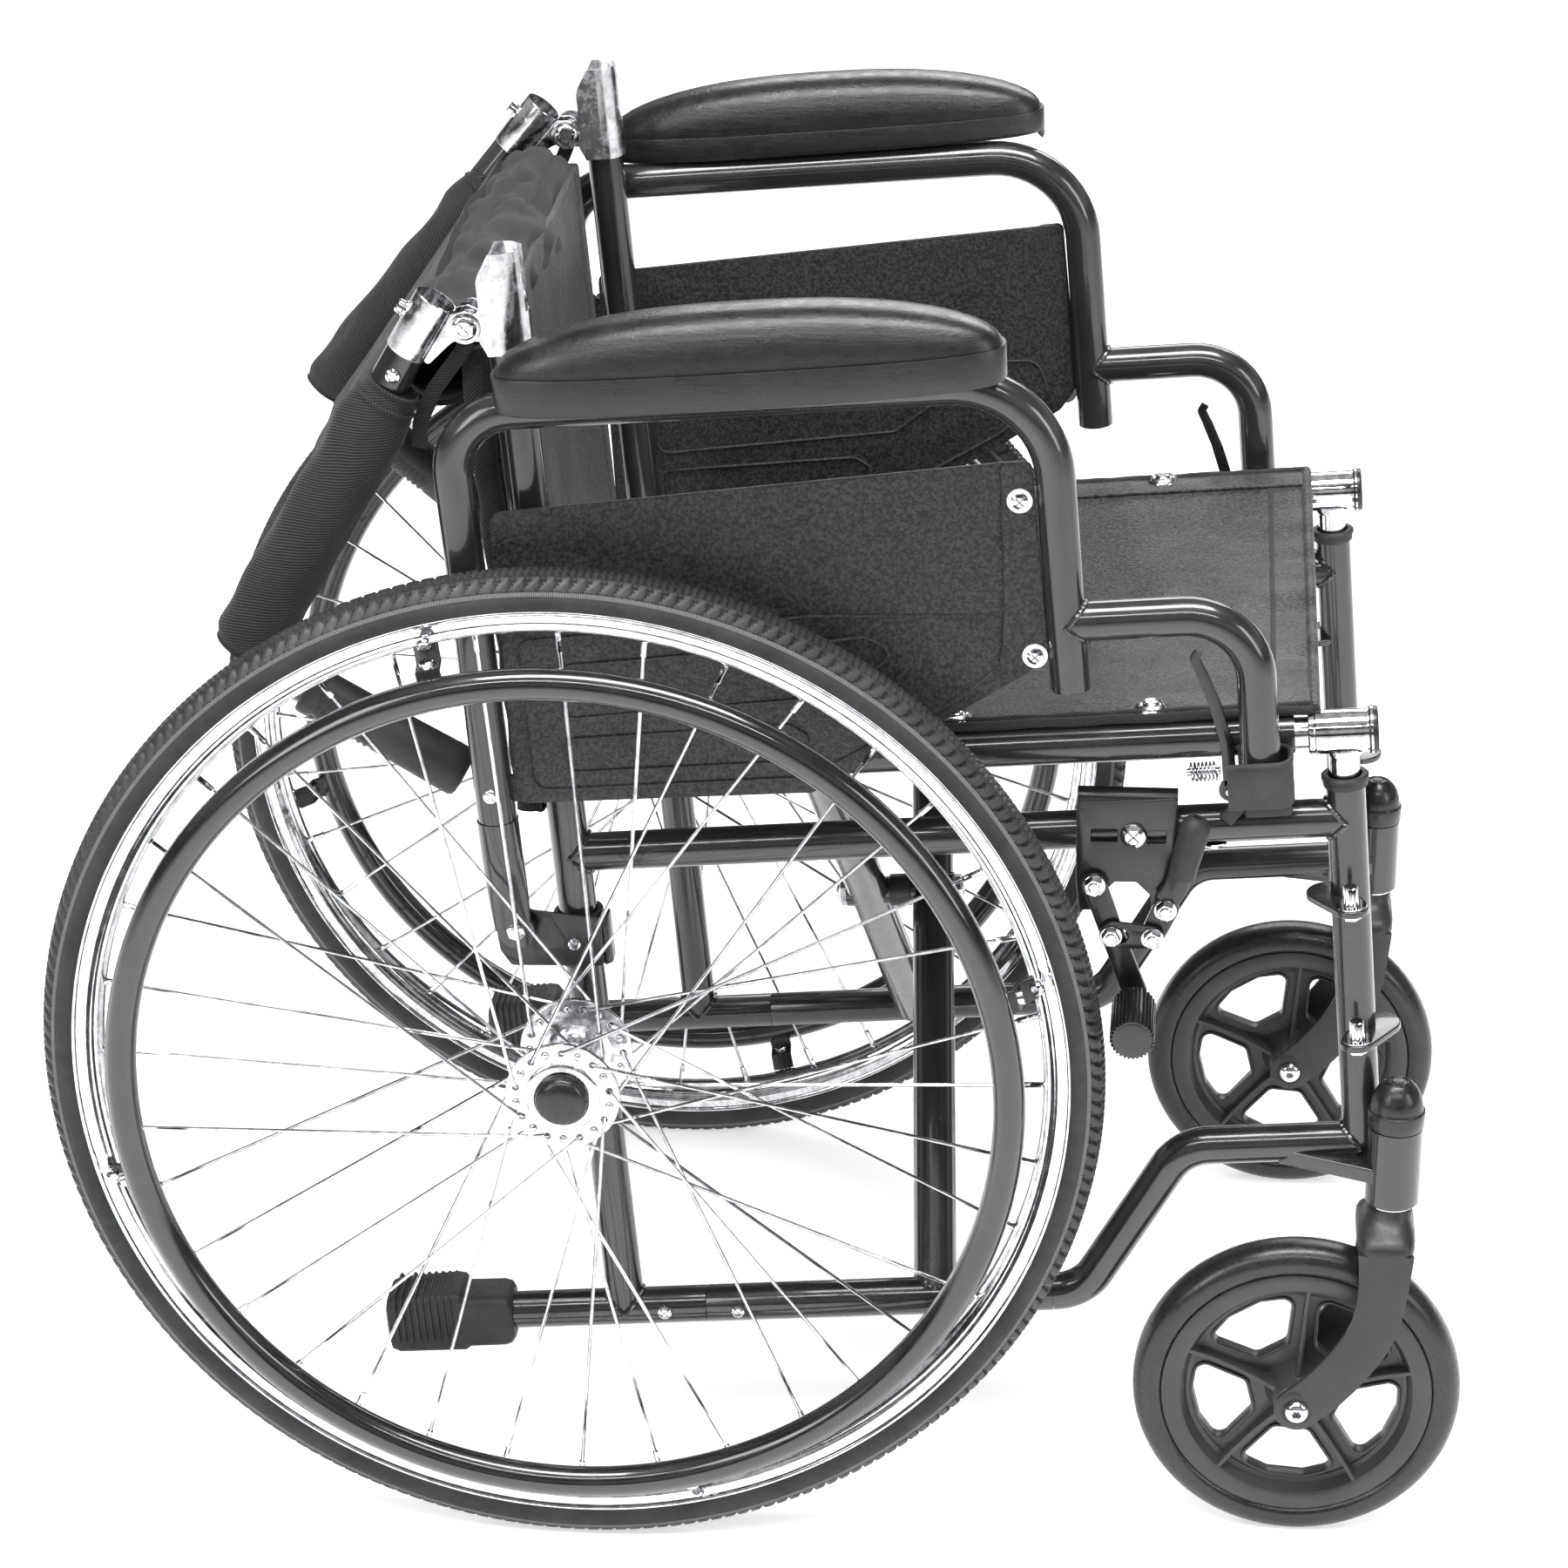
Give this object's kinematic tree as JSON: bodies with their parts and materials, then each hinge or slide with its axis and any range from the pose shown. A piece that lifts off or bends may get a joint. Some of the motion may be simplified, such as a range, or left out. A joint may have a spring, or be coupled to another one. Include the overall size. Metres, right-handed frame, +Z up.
{
  "type": "manual wheelchair",
  "caption": "Folding manual wheelchair with spoked rear wheels, front casters, flip-up armrests and a half-folding back, shown with the back turned down.",
  "frame": {"origin": "on the floor, under the middle of the chair's length and width", "axes": "+X forward, the way the sitter faces; +Z up; +Y to the sitter's left"},
  "size_m": [0.8216, 0.5966, 0.7738],
  "materials": {
    "frame_paint": "glossy black powder-coated steel tube and plate",
    "chrome": "bright chrome plate, polished",
    "tyre": "matt black tyre rubber with a fine block tread",
    "black_rubber": "matt black moulded rubber",
    "black_plastic": "satin black moulded plastic",
    "black_vinyl": "black vinyl skin over foam, soft sheen",
    "black_cloth": "black coated nylon, fine woven grain"
  },
  "bodies": {
    "frame_right": {"side_frame_r": "frame_paint", "tipping_foot_r": "black_rubber", "caster_stem_cap_r": "black_plastic", "lower_hinge_sleeve_r": "chrome", "back_hinge_bolt_r": "chrome", "rear_axle_r": "chrome", "arm_bracket_r": "black_plastic", "arm_cup_r": "black_plastic", "brake_plate_r": "frame_paint", "back_sling_lower": "black_cloth"},
    "frame_left": {"side_frame_l": "frame_paint", "tipping_foot_l": "black_rubber", "caster_stem_cap_l": "black_plastic", "lower_hinge_sleeve_l": "chrome", "back_hinge_bolt_l": "chrome", "rear_axle_l": "chrome", "arm_bracket_l": "black_plastic", "arm_cup_l": "black_plastic", "brake_plate_l": "frame_paint"},
    "brace_left_rail": {"cross_brace_l": "frame_paint", "cross_brace_bolt": "chrome"},
    "brace_right_rail": {"cross_brace_r": "frame_paint"},
    "seat_post_left": {"seat_post_l": "chrome"},
    "seat_post_right": {"seat_post_r": "chrome", "seat_sling": "black_cloth"},
    "back_upper_right": {"upper_hinge_sleeve_r": "chrome", "upper_back_cane_r": "frame_paint", "push_grip_r": "black_rubber", "back_sling_upper": "black_cloth"},
    "back_upper_left": {"upper_hinge_sleeve_l": "chrome", "upper_back_cane_l": "frame_paint", "push_grip_l": "black_rubber"},
    "armrest_right": {"arm_frame_r": "frame_paint", "arm_pad_r": "black_vinyl", "side_panel_r": "black_plastic"},
    "latch_right": {"arm_latch_lever_r": "black_plastic"},
    "brake_lever_right": {"brake_lever_r": "frame_paint"},
    "brake_arm_right": {"brake_arm_r": "frame_paint"},
    "brake_link_right": {"brake_link_r": "frame_paint"},
    "wheel_right": {"rear_wheel_r": "chrome", "rear_tyre_r": "tyre", "handrim_r": "frame_paint"},
    "caster_fork_right": {"caster_fork_r": "black_plastic", "caster_axle_r": "chrome"},
    "caster_wheel_right": {"caster_wheel_r": "black_plastic", "caster_tyre_r": "tyre"},
    "armrest_left": {"arm_frame_l": "frame_paint", "arm_pad_l": "black_vinyl", "side_panel_l": "black_plastic"},
    "latch_left": {"arm_latch_lever_l": "black_plastic"},
    "brake_lever_left": {"brake_lever_l": "frame_paint"},
    "brake_arm_left": {"brake_arm_l": "frame_paint"},
    "brake_link_left": {"brake_link_l": "frame_paint"},
    "wheel_left": {"rear_wheel_l": "chrome", "rear_tyre_l": "tyre", "handrim_l": "frame_paint"},
    "caster_fork_left": {"caster_fork_l": "black_plastic", "caster_axle_l": "chrome"},
    "caster_wheel_left": {"caster_wheel_l": "black_plastic", "caster_tyre_l": "tyre"}
  },
  "joints": [
    {"name": "frame_fold", "type": "hinge", "parent": "frame_right", "child": "brace_left_rail", "pos_m": [0.06744, -0.197, 0.13159], "axis": [0.9962, 0, 0.0872], "range_deg": [0, 38.5], "deforming": ["seat_sling", "back_sling_lower", "back_sling_upper"]},
    {"name": "brace_centre", "type": "hinge", "parent": "brace_left_rail", "child": "brace_right_rail", "pos_m": [0.06513, 0, 0.30721], "axis": [0.9962, 0, 0.0872], "range_deg": [-77.5, 0]},
    {"name": "left_frame_pivot", "type": "hinge", "parent": "brace_right_rail", "child": "frame_left", "pos_m": [0.06744, 0.197, 0.13159], "axis": [0.9962, 0, 0.0872], "range_deg": [0, 39]},
    {"name": "seat_post_left_pivot", "type": "hinge", "parent": "brace_left_rail", "child": "seat_post_left", "pos_m": [0.31684, 0.197, 0.50505], "axis": [0.9962, 0, 0.0872], "range_deg": [-39, 0]},
    {"name": "seat_post_right_pivot", "type": "hinge", "parent": "brace_right_rail", "child": "seat_post_right", "pos_m": [0.31684, -0.197, 0.50505], "axis": [0.9962, 0, 0.0872], "range_deg": [0, 39]},
    {"name": "back_fold_right", "type": "hinge", "parent": "frame_right", "child": "back_upper_right", "pos_m": [-0.15918, -0.197, 0.73113], "axis": [0, 1, 0], "range_deg": [0, 145]},
    {"name": "armrest_flip_right", "type": "hinge", "parent": "frame_right", "child": "armrest_right", "pos_m": [-0.13975, -0.219, 0.37597], "axis": [0, -1, 0], "range_deg": [0, 95]},
    {"name": "armrest_latch_right", "type": "hinge", "parent": "frame_right", "child": "latch_right", "pos_m": [0.26334, -0.211, 0.47397], "axis": [0, -1, 0], "range_deg": [0, 12], "stiffness_Nm_per_rad": 0.4, "springref_deg": -2.86},
    {"name": "brake_lever_right", "type": "hinge", "parent": "frame_right", "child": "brake_lever_right", "pos_m": [0.22935, -0.215, 0.4013], "axis": [0, 1, 0], "range_deg": [0, 50]},
    {"name": "brake_arm_right", "type": "hinge", "parent": "frame_right", "child": "brake_arm_right", "pos_m": [0.18885, -0.215, 0.4153], "axis": [0, 1, 0], "range_deg": [0, 2.5]},
    {"name": "brake_link_right", "type": "hinge", "parent": "brake_lever_right", "child": "brake_link_right", "pos_m": [0.22255, -0.22, 0.3855], "axis": [0, 1, 0], "range_deg": [-88, 0]},
    {"name": "wheel_spin_right", "type": "hinge", "parent": "frame_right", "child": "wheel_right", "pos_m": [-0.10575, -0.2535, 0.305], "axis": [0, 1, 0], "continuous": true},
    {"name": "caster_swivel_right", "type": "hinge", "parent": "frame_right", "child": "caster_fork_right", "pos_m": [0.36475, -0.216, 0.23], "axis": [0, 0, 1], "continuous": true},
    {"name": "caster_spin_right", "type": "hinge", "parent": "caster_fork_right", "child": "caster_wheel_right", "pos_m": [0.31475, -0.216, 0.096], "axis": [0, 1, 0], "continuous": true},
    {"name": "back_fold_left", "type": "hinge", "parent": "frame_left", "child": "back_upper_left", "pos_m": [-0.15918, 0.197, 0.73113], "axis": [0, 1, 0], "range_deg": [0, 136.5]},
    {"name": "armrest_flip_left", "type": "hinge", "parent": "frame_left", "child": "armrest_left", "pos_m": [-0.13975, 0.219, 0.37597], "axis": [0, -1, 0], "range_deg": [0, 95]},
    {"name": "armrest_latch_left", "type": "hinge", "parent": "frame_left", "child": "latch_left", "pos_m": [0.26334, 0.211, 0.47397], "axis": [0, -1, 0], "range_deg": [0, 12], "stiffness_Nm_per_rad": 0.4, "springref_deg": -2.86},
    {"name": "brake_lever_left", "type": "hinge", "parent": "frame_left", "child": "brake_lever_left", "pos_m": [0.22935, 0.215, 0.4013], "axis": [0, 1, 0], "range_deg": [0, 50]},
    {"name": "brake_arm_left", "type": "hinge", "parent": "frame_left", "child": "brake_arm_left", "pos_m": [0.18885, 0.215, 0.4153], "axis": [0, 1, 0], "range_deg": [0, 2.5]},
    {"name": "brake_link_left", "type": "hinge", "parent": "brake_lever_left", "child": "brake_link_left", "pos_m": [0.22255, 0.22, 0.3855], "axis": [0, 1, 0], "range_deg": [-88, 0]},
    {"name": "wheel_spin_left", "type": "hinge", "parent": "frame_left", "child": "wheel_left", "pos_m": [-0.10575, 0.2535, 0.305], "axis": [0, 1, 0], "continuous": true},
    {"name": "caster_swivel_left", "type": "hinge", "parent": "frame_left", "child": "caster_fork_left", "pos_m": [0.36475, 0.216, 0.23], "axis": [0, 0, 1], "continuous": true},
    {"name": "caster_spin_left", "type": "hinge", "parent": "caster_fork_left", "child": "caster_wheel_left", "pos_m": [0.31475, 0.216, 0.096], "axis": [0, 1, 0], "continuous": true}
  ],
  "couplings": [
    {"joint": "brace_centre", "follows": "frame_fold", "ratio": -2},
    {"joint": "left_frame_pivot", "follows": "frame_fold", "ratio": 1},
    {"joint": "seat_post_left_pivot", "follows": "frame_fold", "ratio": -1},
    {"joint": "seat_post_right_pivot", "follows": "frame_fold", "ratio": 1},
    {"joint": "brake_arm_right", "follows": "brake_lever_right", "ratio": 0.048},
    {"joint": "brake_link_right", "follows": "brake_lever_right", "ratio": -1.746},
    {"joint": "brake_arm_left", "follows": "brake_lever_left", "ratio": 0.048},
    {"joint": "brake_link_left", "follows": "brake_lever_left", "ratio": -1.746},
    {"joint": "back_fold_left", "follows": "back_fold_right", "ratio": 0.94138}
  ]
}
